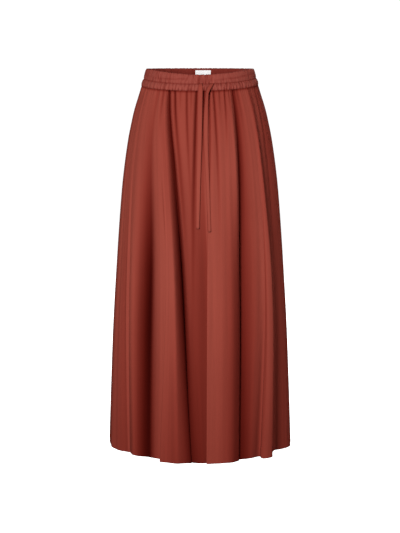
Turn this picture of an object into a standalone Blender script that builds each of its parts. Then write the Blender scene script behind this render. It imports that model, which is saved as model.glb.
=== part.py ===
"""A pleated midi skirt with a two-channel elasticated waistband and a flat drawstring.

The skirt is filled out as if worn: waist and hem are open, and +Z is up. The front faces -Y,
and the origin is in the middle of the waistband, on the skirt's own axis.
Every cloth piece is an open sheet on one garment surface, given its wall by Solidify.
An angle goes round the garment from 0 at the front centre, through 90 at +X, to 180 at the back.
"""

import math
from collections import namedtuple

import bmesh
import bpy
from mathutils import Vector

COLLECTION = "pleated_midi_skirt"

# Driving dimensions, in metres.
CLOTH_WALL = 0.0016
BAND_WALL = 0.0026
TIE_WIDTH = 0.0092
TIE_WALL = 0.0018
LABEL_WIDTH = 0.037
LABEL_HEIGHT = 0.026
LABEL_WALL = 0.0008
SEAM_DROP = 0.0009
SIDE_CLEARANCE = 0.00024
HEM_HEIGHT = -0.858
HEM_FRONT_DROP = 0.004
TIE_LEFT_END = -0.331
TIE_RIGHT_END = -0.337

# The garment's cross-sections, without its folds, a row for each height.
Section = namedtuple("Section", "height half_width front_depth back_depth")
SECTIONS = (
    Section(0.0205, 0.1215, 0.090, 0.088),
    Section(-0.0062, 0.1290, 0.094, 0.092),
    Section(-0.0200, 0.1335, 0.098, 0.096),
    Section(-0.0410, 0.1405, 0.103, 0.102),
    Section(-0.0730, 0.1505, 0.109, 0.109),
    Section(-0.1070, 0.1585, 0.115, 0.116),
    Section(-0.1420, 0.1655, 0.120, 0.122),
    Section(-0.2100, 0.1755, 0.128, 0.130),
    Section(-0.2800, 0.1828, 0.134, 0.136),
    Section(-0.4200, 0.1935, 0.144, 0.146),
    Section(-0.5630, 0.2030, 0.151, 0.154),
    Section(-0.7070, 0.2095, 0.156, 0.160),
    Section(-0.8650, 0.2155, 0.160, 0.165),
)

# The waistband's lines, highest to lowest: its height at the side and back, and how much it
# dips at the front.
BandLine = namedtuple("BandLine", "height front_dip")
BAND_TOP = BandLine(0.0205, 0.0138)
BAND_STITCH = BandLine(-0.0062, 0.0058)
BAND_SEAM = BandLine(-0.0192, 0.0083)
FRONT_DIP_POWER = 1.2

# The waistband's profile: how far down each channel a row lies, and how far it stands proud.
BandRow = namedtuple("BandRow", "channel share proud")
BAND_ROWS = (
    BandRow("upper", 0.00, 0.0000),
    BandRow("upper", 0.22, 0.0006),
    BandRow("upper", 0.72, 0.0006),
    BandRow("upper", 1.00, -0.0014),
    BandRow("lower", 0.35, 0.0012),
    BandRow("lower", 0.75, 0.0012),
    BandRow("lower", 1.00, -0.0004),
)

STITCH_PROUD = BAND_ROWS[3].proud

# The folds, at four heights: waist seam, hip, knee and hem. A column of cloth is named by its
# angle at the hem, and the guide lines carry it up to the waist.
FOLD_HEIGHTS = (-0.035, -0.200, -0.450, -0.862)
Guide = namedtuple("Guide", "name waist hip knee hem")
FRONT_GUIDES = (
    Guide("left_side_seam", -90, -90, -90, -90),
    Guide("left_pleat", -60, -58.5, -56.5, -51.5),
    Guide("left_valley", -46, -41, -42, -37.5),
    Guide("left_front_pleat", -39, -29.5, -21.8, -23.9),
    Guide("long_valley", -31, -21.1, -13.6, -5.6),
    Guide("long_valley_side", -27, -17.3, -9.4, -2.0),
    Guide("centre_pleat", 5, 4.2, 4.8, 4.3),
    Guide("right_valley", 32.2, 31.3, 30, 25.9),
    Guide("right_front_pleat", 47, 48.5, 47.5, 40),
    Guide("right_edge", 56, 54.6, 53.6, 47.8),
    Guide("right_side_seam", 90, 90, 90, 90),
)
BACK_GUIDES = (
    Guide("right_side_seam", 90, 90, 90, 90),
    Guide("back_pleat_1", 105, 106, 108, 109),
    Guide("back_valley_1", 121, 121, 120, 119),
    Guide("back_pleat_2", 136, 136, 134, 133),
    Guide("back_valley_2", 152, 150, 148, 146),
    Guide("back_pleat_3", 166, 166, 165, 164),
    Guide("back_valley_3", 176, 178, 181, 182),
    Guide("back_pleat_4", 190, 193, 197, 199),
    Guide("back_valley_4", 209, 212, 216, 217),
    Guide("back_pleat_5", 225, 228, 231, 232),
    Guide("back_valley_5", 241, 244, 247, 248),
    Guide("left_side_seam", 270, 270, 270, 270),
)

# Soft folds: how far the cloth stands out (+) or in (-) at the four heights, in millimetres,
# and the fold's half width in degrees at the hem.
Soft = namedtuple("Soft", "hem_angle width waist hip knee hem")
SOFT_FOLDS = (
    Soft(-37.5, 6.0, 0.0, -7.0, -34.0, -26.0),
    Soft(-5.6, 4.6, -7.0, -17.0, -34.0, -18.0),
    Soft(25.9, 4.6, -5.0, -14.0, -26.0, -16.0),
    Soft(-55.0, 7.5, 0.0, -2.0, -6.0, -24.0),
    Soft(-29.0, 5.0, 0.0, 0.0, -4.0, -10.0),
    Soft(-14.0, 7.0, 0.0, 0.0, 3.0, 11.0),
    Soft(2.0, 3.4, 0.0, 0.0, -4.0, -2.0),
    Soft(11.0, 15.0, 0.0, 1.0, 3.0, 9.0),
    Soft(34.0, 6.0, -2.0, -5.0, -7.0, -12.0),
    Soft(62.0, 9.0, 0.0, -3.0, -7.0, -18.0),
    Soft(119.0, 4.6, -1.0, -6.5, -17.0, -15.0),
    Soft(146.0, 3.8, -4.5, -9.0, -14.0, -11.0),
    Soft(182.0, 4.2, -5.0, -12.0, -19.0, -15.0),
    Soft(217.0, 4.0, -4.0, -8.0, -15.0, -12.0),
    Soft(248.0, 4.8, -1.0, -6.0, -17.0, -15.0),
)

# The hem hangs a little lower in the deep folds.
HemDip = namedtuple("HemDip", "hem_angle width drop")
HEM_DIPS = (HemDip(-37.5, 6.0, 0.0035), HemDip(-5.6, 4.6, 0.0040), HemDip(25.9, 4.6, 0.0030))

# Pressed pleats: half the step from the lower panel to the upper one, in millimetres, and how
# far the edge laps over, in degrees at the hem. A minus step puts the left panel on top.
Pleat = namedtuple("Pleat", "hem_angle width step_waist step_hip step_knee step_hem lap_knee lap_hem")
PLEATS = (
    Pleat(-51.5, 2.0, 0.0, 0.5, 2.0, 1.8, 1.4, 1.6),
    Pleat(-23.9, 2.0, 0.0, 0.3, 2.8, 7.0, 1.8, 3.2),
    Pleat(-5.6, 1.8, 0.0, -0.5, -2.0, -3.0, 0.8, 1.8),
    Pleat(4.3, 2.0, 0.0, 0.5, 3.4, 3.0, 2.0, 2.6),
    Pleat(25.9, 1.8, 0.0, -1.5, -3.0, -3.5, 1.0, 1.8),
    Pleat(40.0, 2.0, 0.0, 0.5, 3.4, 6.0, 1.8, 2.8),
    Pleat(47.8, 2.6, -3.0, -7.5, -10.5, -12.0, 2.0, 3.2),
    Pleat(109.0, 2.2, 0.0, 0.6, 3.0, 5.5, 1.8, 3.0),
    Pleat(133.0, 2.2, 0.0, 0.4, 2.6, 6.0, 1.8, 3.2),
    Pleat(164.0, 2.0, 0.0, 0.5, 2.8, 4.5, 1.9, 3.0),
    Pleat(199.0, 2.2, 0.0, 0.5, 3.2, 6.0, 2.0, 3.2),
    Pleat(232.0, 2.2, 0.0, 0.4, 2.8, 5.5, 1.8, 3.0),
)

# Gathers just below the waist seam: where, how deep in millimetres, and how far down they run.
Gather = namedtuple("Gather", "angle depth reach")
FRONT_GATHERS = (
    Gather(-23.0, 2.0, 0.100),
    Gather(-15.5, 1.4, 0.050),
    Gather(-8.5, 2.2, 0.090),
    Gather(-2.7, 2.6, 0.180),
    Gather(2.7, 1.8, 0.080),
    Gather(8.4, 2.4, 0.110),
    Gather(14.2, 2.0, 0.150),
    Gather(24.8, 2.2, 0.090),
)
BACK_GATHERS = (
    Gather(128.0, 1.6, 0.070),
    Gather(143.0, 2.0, 0.110),
    Gather(158.5, 2.4, 0.140),
    Gather(170.5, 2.0, 0.090),
    Gather(182.5, 2.4, 0.160),
    Gather(197.0, 2.0, 0.100),
    Gather(203.5, 1.8, 0.080),
    Gather(217.0, 2.2, 0.120),
    Gather(233.0, 1.8, 0.070),
)
GATHER_WIDTH = 1.5

# Where the sheets have their rows and columns.
PANEL_ROWS = (0.0, 0.04, 0.10, 0.175, 0.26, 0.36, 0.47, 0.59, 0.72, 0.86, 1.0)
PLEAT_COLUMNS = (-2.9, -1.8, -1.05, -0.5, 0.0, 0.5, 1.05, 1.8, 2.9)
VALLEY_COLUMNS = (-1.3, -0.5, 0.5, 1.3)
LARGEST_COLUMN = 4.0
SMALLEST_COLUMN = 0.65
BAND_COLUMNS = 29
TIE_ROWS = 34
TIE_MARGIN = 0.001
TIE_SEARCH = 30
TIE_SMOOTHING = 12
TIE_CROWDING = 1.4

# The ties' routes: the height, the distance from the front centre, to the right, and how far
# the tie stands off the cloth behind it.
RoutePoint = namedtuple("RoutePoint", "height across lift")
TIE_LEFT_ROUTE = (
    RoutePoint(-0.0128, -0.0030, 0.0009),
    RoutePoint(-0.0250, -0.0028, 0.0012),
    RoutePoint(-0.0450, -0.0030, 0.0010),
    RoutePoint(-0.1500, -0.0042, 0.0006),
    RoutePoint(TIE_LEFT_END, -0.0048, 0.0006),
)
TIE_RIGHT_ROUTE = (
    RoutePoint(-0.0124, 0.0265, 0.0009),
    RoutePoint(-0.0200, 0.0205, 0.0016),
    RoutePoint(-0.0380, 0.0152, 0.0016),
    RoutePoint(-0.0900, 0.0132, 0.0008),
    RoutePoint(-0.1500, 0.0136, 0.0006),
    RoutePoint(-0.2440, 0.0176, 0.0006),
    RoutePoint(TIE_RIGHT_END, 0.0212, 0.0006),
)

LABEL_CENTRE = 0.0075
LABEL_BELOW_TOP = 0.0030
LABEL_CLEARANCE = 0.0005

TERRACOTTA = (0.300, 0.058, 0.040, 1.0)
TERRACOTTA_BAND = (0.280, 0.052, 0.036, 1.0)
LABEL_WHITE = (0.80, 0.79, 0.77, 1.0)
CLOTH_ROUGHNESS = 0.85


def between(table, place, places):
    """A smooth value of the table at a place, where places run one way."""
    if (places[0] > places[-1]) == (place >= places[0]):
        return table[0]
    for i in range(len(places) - 1):
        share = (place - places[i]) / (places[i + 1] - places[i])
        if share > 1.0:
            continue
        slopes = []
        for k in (i, i + 1):
            low, high = max(k - 1, 0), min(k + 1, len(places) - 1)
            slopes.append((table[high] - table[low]) / (places[high] - places[low]))
        run = places[i + 1] - places[i]
        s2, s3 = share * share, share ** 3
        return (
            (2 * s3 - 3 * s2 + 1) * table[i]
            + (s3 - 2 * s2 + share) * run * slopes[0]
            + (3 * s2 - 2 * s3) * table[i + 1]
            + (s3 - s2) * run * slopes[1]
        )
    return table[-1]


SECTION_HEIGHTS = [row.height for row in SECTIONS]


def section_size(column, height):
    return between([getattr(row, column) for row in SECTIONS], height, SECTION_HEIGHTS)


def at_heights(values, height):
    return between(values, height, FOLD_HEIGHTS)


def base_point(angle, height):
    """The garment's surface without folds."""
    turn = math.radians(angle)
    half_width = section_size("half_width", height)
    depth = section_size("front_depth" if math.cos(turn) > 0 else "back_depth", height)
    return Vector((half_width * math.sin(turn), -depth * math.cos(turn), height))


def outward(angle, height):
    """The level direction that faces away from the garment's axis."""
    turn = math.radians(angle)
    half_width = section_size("half_width", height)
    depth = section_size("front_depth" if math.cos(turn) > 0 else "back_depth", height)
    return Vector((math.sin(turn) / half_width, -math.cos(turn) / depth, 0.0)).normalized()


def angle_at(guides, hem_angle, height):
    """Where the column of cloth that has this angle at the hem lies at a height."""
    for low, high in zip(guides, guides[1:]):
        if hem_angle <= high.hem:
            share = (hem_angle - low.hem) / (high.hem - low.hem)
            return (1 - share) * at_heights(low[1:], height) + share * at_heights(high[1:], height)
    return guides[-1].hem


def hem_angle_of(guides, waist_angle):
    """The column of cloth that has this angle at the waist."""
    for low, high in zip(guides, guides[1:]):
        if waist_angle <= high.waist:
            share = (waist_angle - low.waist) / (high.waist - low.waist)
            return low.hem + share * (high.hem - low.hem)
    return guides[-1].hem


def soft_height(hem_angle, height):
    """How far the soft folds move the cloth out, in metres."""
    total = 0.0
    for fold in SOFT_FOLDS:
        place = (hem_angle - fold.hem_angle) / fold.width
        total += at_heights(fold[2:], height) * math.exp(-place * place)
    return total / 1000


def gather_height(gathers, angle, height):
    total = 0.0
    for gather in gathers:
        place = (angle - gather.angle) / GATHER_WIDTH
        down = (BAND_SEAM.height - height) / gather.reach
        total -= gather.depth * math.exp(-place * place - down * down)
    return total / 1000


def pleat_shift(hem_angle, height):
    """How far the pressed pleats move the cloth out, in metres, and along, in degrees."""
    out, along = 0.0, 0.0
    for pleat in PLEATS:
        place = (hem_angle - pleat.hem_angle) / pleat.width
        if abs(place) > 4.0:
            continue
        wave = place * math.exp((1 - place * place) / 2)
        steps = (pleat.step_waist, pleat.step_hip, pleat.step_knee, pleat.step_hem)
        out += at_heights(steps, height) / 1000 * wave
        along -= at_heights((0.0, 0.0, pleat.lap_knee, pleat.lap_hem), height) * wave
    return out, along


def cloth_point(guides, gathers, hem_angle, height):
    """A point of the folded cloth."""
    out, along = pleat_shift(hem_angle, height)
    angle = angle_at(guides, hem_angle, height)
    away = outward(angle, height)
    out += soft_height(hem_angle, height) + gather_height(gathers, angle, height)
    across = Vector((-away.y, away.x, 0.0))
    girth = math.hypot(section_size("half_width", height), section_size("front_depth", height))
    shift = math.radians(along) * girth / math.sqrt(2)
    return base_point(angle, height) + away * out + across * shift


def band_height(line, angle):
    dip = max(math.cos(math.radians(angle)), 0.0) ** FRONT_DIP_POWER
    return line.height - line.front_dip * dip


def hem_height(hem_angle):
    height = HEM_HEIGHT - HEM_FRONT_DROP * max(math.cos(math.radians(hem_angle)), 0.0)
    for dip in HEM_DIPS:
        place = (hem_angle - dip.hem_angle) / dip.width
        height -= dip.drop * math.exp(-place * place)
    return height


def columns_of(guides, gathers):
    """Hem angles of a panel's columns: close at pleats and valleys, wider between them."""
    wanted = [guides[0].hem, guides[-1].hem]
    low, high = wanted
    for pleat in PLEATS:
        wanted += [pleat.hem_angle + share * pleat.width for share in PLEAT_COLUMNS]
    for fold in SOFT_FOLDS:
        if fold.width < LARGEST_COLUMN + 1.0 + SMALLEST_COLUMN:
            wanted += [fold.hem_angle + share * fold.width for share in VALLEY_COLUMNS]
    wanted += [hem_angle_of(guides, gather.angle) for gather in gathers]
    kept = [low]
    for angle in sorted(angle for angle in wanted if low < angle < high):
        if min(angle - kept[-1], high - angle) < SMALLEST_COLUMN:
            continue
        steps = math.ceil((angle - kept[-1]) / LARGEST_COLUMN)
        start = kept[-1]
        kept += [start + (angle - start) * (i + 1) / steps for i in range(steps)]
    steps = math.ceil((high - kept[-1]) / LARGEST_COLUMN)
    start = kept[-1]
    kept += [start + (high - start) * (i + 1) / steps for i in range(steps)]
    return kept


def sheet_mesh(name, across, down, place):
    """A grid of across x down points, each put at place(column, row)."""
    made = bmesh.new()
    bmesh.ops.create_grid(made, x_segments=across - 1, y_segments=down - 1, size=1.0)
    for vertex in made.verts:
        column = round((vertex.co.x + 1) / 2 * (across - 1))
        row = round((1 - vertex.co.y) / 2 * (down - 1))
        vertex.co = place(column, row)
    mesh = bpy.data.meshes.new(name)
    made.to_mesh(mesh)
    made.free()
    mesh.shade_smooth()
    return mesh


def material_of(name, colour, roughness):
    material = bpy.data.materials.new(name)
    material.use_nodes = True
    shader = material.node_tree.nodes["Principled BSDF"]
    shader.inputs["Base Color"].default_value = colour
    shader.inputs["Roughness"].default_value = roughness
    shader.inputs["Metallic"].default_value = 0.0
    material.diffuse_color = colour
    return material


def add_sheet(collection, name, mesh, wall, colour):
    """A sheet of cloth with its wall, half of it on each side, in the garment's collection."""
    piece = bpy.data.objects.new(name, mesh)
    collection.objects.link(piece)
    mesh.materials.append(material_of(name, colour, CLOTH_ROUGHNESS))
    solid = piece.modifiers.new("wall", "SOLIDIFY")
    solid.thickness = wall
    solid.offset = 0.0
    return piece


def clear_of_side_seam(point, faces_front):
    """Keeps a side edge clear of the garment's side plane, so that its wall is too."""
    if faces_front:
        return Vector((point.x, min(point.y, -SIDE_CLEARANCE), point.z))
    return Vector((point.x, max(point.y, SIDE_CLEARANCE), point.z))


def add_panel(collection, name, guides, gathers, faces_front):
    columns = columns_of(guides, gathers)

    def place(column, row):
        hem_angle = columns[column]
        top = band_height(BAND_SEAM, angle_at(guides, hem_angle, BAND_SEAM.height)) - SEAM_DROP
        height = top + PANEL_ROWS[row] * (hem_height(hem_angle) - top)
        point = cloth_point(guides, gathers, hem_angle, height)
        return clear_of_side_seam(point, faces_front)

    mesh = sheet_mesh(name, len(columns), len(PANEL_ROWS), place)
    return add_sheet(collection, name, mesh, CLOTH_WALL, TERRACOTTA)


def band_point(angle, row, lift=0.0):
    """A point of the waistband's middle surface, lifted outwards."""
    upper = row.channel == "upper"
    top = band_height(BAND_TOP if upper else BAND_STITCH, angle)
    bottom = band_height(BAND_STITCH if upper else BAND_SEAM, angle)
    height = top + row.share * (bottom - top)
    return base_point(angle, height) + outward(angle, height) * (row.proud + lift)


def add_band(collection, name, start, end, faces_front):
    def place(column, row):
        angle = start + (end - start) * column / (BAND_COLUMNS - 1)
        return clear_of_side_seam(band_point(angle, BAND_ROWS[row]), faces_front)

    mesh = sheet_mesh(name, BAND_COLUMNS, len(BAND_ROWS), place)
    return add_sheet(collection, name, mesh, BAND_WALL, TERRACOTTA_BAND)


def band_front(across, height):
    """The waistband's outer face behind a tie, where the tie's inner edge would touch it."""
    across = max(abs(across) - TIE_WIDTH / 2, 0.0)
    angle = math.degrees(math.asin(across / section_size("half_width", height)))
    stitch = band_height(BAND_STITCH, angle)
    depth = (stitch - height) / (stitch - band_height(BAND_SEAM, angle))
    lower = [row for row in BAND_ROWS if row.channel == "lower"]
    shares = [0.0] + [row.share for row in lower]
    prouds = [STITCH_PROUD] + [row.proud for row in lower]
    proud = between(prouds, min(max(depth, 0.0), 1.0), shares)
    return base_point(angle, height).y - proud - BAND_WALL / 2


def panel_front(across, height):
    """The foremost cloth of the front panel within a tie's width of this place."""
    angle = math.degrees(math.asin(across / section_size("half_width", height)))
    middle = hem_angle_of(FRONT_GUIDES, angle)
    reach = TIE_WIDTH / 2 + TIE_MARGIN
    foremost = 0.0
    for step in range(-TIE_SEARCH, TIE_SEARCH + 1):
        point = cloth_point(FRONT_GUIDES, FRONT_GATHERS, middle + step / 2, height)
        if abs(point.x - across) < reach:
            foremost = min(foremost, point.y)
    return foremost - CLOTH_WALL / 2


def tie_point(route, height):
    """A point of a tie's middle line."""
    heights = [point.height for point in route]
    across = between([point.across for point in route], height, heights)
    lift = between([point.lift for point in route], height, heights)
    on_band = height > band_height(BAND_SEAM, 0.0)
    surface = band_front(across, height) if on_band else panel_front(across, height)
    return Vector((across, surface - lift - TIE_WALL / 2, height))


def tie_line(route):
    """A tie's middle line: it bridges the hollows behind it and never sinks into the cloth."""
    start, end = route[0].height, route[-1].height
    shares = [(i / (TIE_ROWS - 1)) ** TIE_CROWDING for i in range(TIE_ROWS)]
    line = [tie_point(route, start + (end - start) * share) for share in shares]
    for _ in range(TIE_SMOOTHING):
        for before, here, after in zip(line, line[1:], line[2:]):
            here.y = min(here.y, (before.y + after.y) / 2)
    return line


def add_tie(collection, name, route):
    line = tie_line(route)

    def place(column, row):
        return line[row] + Vector(((column / 2 - 0.5) * TIE_WIDTH, 0.0, 0.0))

    mesh = sheet_mesh(name, 3, TIE_ROWS, place)
    return add_sheet(collection, name, mesh, TIE_WALL, TERRACOTTA)


def add_label(collection):
    """The label lies on the inside of the back band, on the band's own points."""
    inside = BAND_WALL / 2 + LABEL_CLEARANCE + LABEL_WALL / 2

    def place(column, row):
        across = LABEL_CENTRE + (column / 4 - 0.5) * LABEL_WIDTH
        height = BAND_TOP.height - LABEL_BELOW_TOP - row / 3 * LABEL_HEIGHT
        angle = 180 - math.degrees(math.asin(across / section_size("half_width", height)))
        return base_point(angle, height) + outward(angle, height) * (STITCH_PROUD - inside)

    mesh = sheet_mesh("label", 5, 4, place)
    return add_sheet(collection, "label", mesh, LABEL_WALL, LABEL_WHITE)


def main():
    for old in list(bpy.data.objects):
        bpy.data.objects.remove(old, do_unlink=True)
    collection = bpy.data.collections.new(COLLECTION)
    bpy.context.scene.collection.children.link(collection)
    add_band(collection, "waistband_front", -90, 90, True)
    add_band(collection, "waistband_back", 90, 270, False)
    add_panel(collection, "front_panel", FRONT_GUIDES, FRONT_GATHERS, True)
    add_panel(collection, "back_panel", BACK_GUIDES, BACK_GATHERS, False)
    add_tie(collection, "tie_left", TIE_LEFT_ROUTE)
    add_tie(collection, "tie_right", TIE_RIGHT_ROUTE)
    add_label(collection)


main()
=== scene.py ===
# %% [markdown]
# # A pleated midi skirt, filled out as worn
#
# The skirt is one tube of terracotta crepe. It is gathered into a band with two channels, and
# from the hips down it falls in soft folds with a few long pressed edges. Every cloth piece here
# is read from one idea: a *cloth point*, found from a place round the skirt and a height. So the
# panels, the band and the ties can't drift apart, and a fold is one row in a short table.
#
# Lengths are in metres and angles in degrees, unless a table says otherwise.

# %% The frame
import math
from collections import namedtuple

import bmesh
import bpy
import numpy as np
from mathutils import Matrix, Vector


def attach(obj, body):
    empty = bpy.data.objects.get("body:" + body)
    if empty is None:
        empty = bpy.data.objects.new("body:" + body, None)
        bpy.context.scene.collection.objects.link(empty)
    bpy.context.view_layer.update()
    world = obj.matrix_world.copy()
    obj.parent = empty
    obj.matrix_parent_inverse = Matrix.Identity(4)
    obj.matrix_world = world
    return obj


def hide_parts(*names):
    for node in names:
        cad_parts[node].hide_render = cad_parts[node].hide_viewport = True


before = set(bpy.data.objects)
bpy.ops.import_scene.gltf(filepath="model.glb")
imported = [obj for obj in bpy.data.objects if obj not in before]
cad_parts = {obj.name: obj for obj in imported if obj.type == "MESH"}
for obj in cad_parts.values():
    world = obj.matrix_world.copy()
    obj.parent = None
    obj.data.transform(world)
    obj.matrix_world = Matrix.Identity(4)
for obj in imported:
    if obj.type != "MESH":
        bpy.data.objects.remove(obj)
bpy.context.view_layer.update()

scene = bpy.context.scene
print("frame:", sorted(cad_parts))

# %% [markdown]
# ## Camera
#
# The picture looks slightly down on the skirt from waist height, straight at its front. A long
# lens from 3.2 m keeps the waist and the hem in proportion. Blender gives the sensor's 36 mm to
# the longer side of the frame, which is the height here, so the lens follows from it.

# %% Camera
CAMERA_DISTANCE = 3.2
CAMERA_HEIGHT = 0.06
CAMERA_PITCH = 8.82
FOCAL_LENGTH_PX = 1388
FRAME_HEIGHT_PX = 533
SENSOR_MM = 36

camera_data = bpy.data.cameras.new("camera")
camera_data.lens = SENSOR_MM * FOCAL_LENGTH_PX / FRAME_HEIGHT_PX
camera = bpy.data.objects.new("camera", camera_data)
camera.location = (0, -CAMERA_DISTANCE, CAMERA_HEIGHT)
camera.rotation_euler = (math.radians(90 - CAMERA_PITCH), 0, 0)
scene.collection.objects.link(camera)
scene.camera = camera
print("lens:", round(camera_data.lens, 1), "mm")

# %% [markdown]
# ## Short tables, read smoothly
#
# A garment is drafted from a few sizes at a few levels: waist, hip, knee, hem. Between those
# levels the cloth is smooth, so each table is read along a soft curve. Numpy reads a whole
# sheet's heights at once, which keeps the script quick.

# %% Reading a table at any height


def read_table(levels, values, height):
    """A smooth curve through values given at falling levels, read at any heights."""
    levels, values = np.asarray(levels, float), np.asarray(values, float)
    height = np.clip(height, levels.min(), levels.max())
    last = len(levels) - 1
    low = np.clip(np.searchsorted(-levels, -height, side="right") - 1, 0, last - 1)
    before, after, far = np.maximum(low - 1, 0), low + 1, np.minimum(low + 2, last)
    run = levels[after] - levels[low]
    share = (height - levels[low]) / run
    slope_low = (values[after] - values[before]) / (levels[after] - levels[before])
    slope_high = (values[far] - values[low]) / (levels[far] - levels[low])
    return (
        (2 * share**3 - 3 * share**2 + 1) * values[low]
        + (share**3 - 2 * share**2 + share) * run * slope_low
        + (3 * share**2 - 2 * share**3) * values[after]
        + (share**3 - share**2) * run * slope_high
    )


def bump(place, centre, width):
    """A soft rise of height 1 at its centre."""
    return np.exp(-(((place - centre) / width) ** 2))


print("halfway between 0 and 1:", float(read_table((0, -1), (0, 1), -0.5)))

# %% [markdown]
# ## The garment's own surface
#
# Without its folds the skirt is a stack of ovals. The oval is flatter at the waist than at the
# hem. An angle goes round from 0 at the front centre, through 90 at +X, to 180 at the back.

# %% Ovals from waist to hem
Section = namedtuple("Section", "height half_width front_depth back_depth")
SECTIONS = (
    Section(0.0205, 0.1215, 0.090, 0.088),
    Section(-0.0062, 0.1290, 0.094, 0.092),
    Section(-0.0200, 0.1335, 0.098, 0.096),
    Section(-0.0410, 0.1405, 0.103, 0.102),
    Section(-0.0730, 0.1505, 0.109, 0.109),
    Section(-0.1070, 0.1585, 0.115, 0.116),
    Section(-0.1420, 0.1655, 0.120, 0.122),
    Section(-0.2100, 0.1755, 0.128, 0.130),
    Section(-0.2800, 0.1828, 0.134, 0.136),
    Section(-0.4200, 0.1935, 0.144, 0.146),
    Section(-0.5630, 0.2030, 0.151, 0.154),
    Section(-0.7070, 0.2095, 0.156, 0.160),
    Section(-0.8650, 0.2155, 0.160, 0.165),
)
SECTION_HEIGHTS = [row.height for row in SECTIONS]


def section_size(column, height):
    return read_table(SECTION_HEIGHTS, [getattr(row, column) for row in SECTIONS], height)


def oval(angle, height):
    """Half width and half depth of the oval that holds this side of the skirt."""
    front, back = section_size("front_depth", height), section_size("back_depth", height)
    return section_size("half_width", height), np.where(np.cos(angle) > 0, front, back)


def base_point(degrees, height):
    """Points of the unfolded skirt, and the level direction that faces outwards there."""
    angle = np.radians(degrees)
    width, depth = oval(angle, height)
    point = np.stack([width * np.sin(angle), -depth * np.cos(angle), height + 0 * angle], -1)
    away = np.stack([np.sin(angle) / width, -np.cos(angle) / depth, 0 * point[..., 0]], -1)
    return point, away / np.linalg.norm(away, axis=-1, keepdims=True)


print("hem oval:", SECTIONS[-1].half_width * 2, "m wide")

# %% [markdown]
# ## Where each length of cloth falls
#
# A column of cloth is named by its angle at the hem. Gathering squeezes the columns together at
# the waist, and the long folds drift sideways as they fall, so guide lines say where the main
# columns lie at the waist, hip, knee and hem. Everything between two guides follows them.

# %% Guide lines
LEVELS = (-0.035, -0.200, -0.450, -0.862)
Guide = namedtuple("Guide", "name waist hip knee hem")
FRONT_GUIDES = (
    Guide("left_side_seam", -90, -90, -90, -90),
    Guide("left_pleat", -60, -58.5, -56.5, -51.5),
    Guide("left_valley", -46, -41, -42, -37.5),
    Guide("left_front_pleat", -39, -29.5, -21.8, -23.9),
    Guide("long_valley", -31, -21.1, -13.6, -5.6),
    Guide("long_valley_side", -27, -17.3, -9.4, -2.0),
    Guide("centre_pleat", 5, 4.2, 4.8, 4.3),
    Guide("right_valley", 32.4, 31.8, 30, 25.9),
    Guide("right_front_pleat", 47, 48.5, 47.5, 40),
    Guide("right_edge", 56, 53.5, 53.0, 47.8),
    Guide("right_side_seam", 90, 90, 90, 90),
)
BACK_GUIDES = (
    Guide("right_side_seam", 90, 90, 90, 90),
    Guide("back_pleat_1", 105, 106, 108, 109),
    Guide("back_valley_1", 121, 121, 120, 119),
    Guide("back_pleat_2", 136, 136, 134, 133),
    Guide("back_valley_2", 152, 150, 148, 146),
    Guide("back_pleat_3", 166, 166, 165, 164),
    Guide("back_valley_3", 176, 178, 181, 182),
    Guide("back_pleat_4", 190, 193, 197, 199),
    Guide("back_valley_4", 209, 212, 216, 217),
    Guide("back_pleat_5", 225, 228, 231, 232),
    Guide("back_valley_5", 241, 244, 247, 248),
    Guide("left_side_seam", 270, 270, 270, 270),
)


def angle_at(guides, hem_angle, height):
    """Where columns of cloth, named by their hem angle, lie at each height."""
    hems = np.array([guide.hem for guide in guides], float)
    lines = [read_table(LEVELS, guide[1:], height) for guide in guides]
    low = np.clip(np.searchsorted(hems, hem_angle, side="right") - 1, 0, len(hems) - 2)
    share = (hem_angle - hems[low]) / (hems[low + 1] - hems[low])
    angle = np.zeros(np.broadcast(hem_angle, height).shape)
    for k in range(len(guides) - 1):
        part = (1 - share) * lines[k] + share * lines[k + 1]
        angle = np.where(low == k, part, angle)
    return angle


print(len(FRONT_GUIDES), "guide lines in front and", len(BACK_GUIDES), "behind")

# %% [markdown]
# ## Folds
#
# Three kinds of fold make this skirt. Soft folds are wide troughs and swells. Pressed pleats
# have a sharp edge, which can lap over the cloth beside it: moving the cloth out and along by
# the same S-shaped wave turns a smooth sheet into a real overlap, with no cut. Gathers start at
# the waist seam and fade below it.

# %% Soft folds
# How far out the cloth stands, in mm, at the waist, hip, knee and hem. Below 0 is a trough.
Soft = namedtuple("Soft", "hem_angle width waist hip knee hem")
SOFT_FOLDS = (
    Soft(-37.5, 6, 0, -7, -34, -26),
    Soft(-5.6, 4.6, -7, -17, -34, -18),
    Soft(25.9, 4.6, -5, -14, -26, -16),
    Soft(-55, 7.5, 0, -2, -6, -16),
    Soft(-29, 5, 0, 0, -2.5, -9),
    Soft(-14, 7, 0, 0, 3, 11),
    Soft(2, 3.4, 0, 0, -4, -2),
    Soft(11, 15, 0, 1, 3, 9),
    Soft(34, 6, -1, -1.5, -1.5, -9),
    Soft(39.2, 1.5, 0, 0.6, 2.4, 1),
    Soft(22.8, 2, 2.4, 6.2, 3, 0),
    Soft(60, 9, -2.5, -6, -8, -18),
    Soft(119, 4.6, -1, -6.5, -17, -15),
    Soft(146, 3.8, -4.5, -9, -14, -11),
    Soft(182, 4.2, -5, -12, -19, -15),
    Soft(217, 4, -4, -8, -15, -12),
    Soft(248, 4.8, -1, -6, -17, -15),
)
print(len(SOFT_FOLDS), "soft folds")

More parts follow.
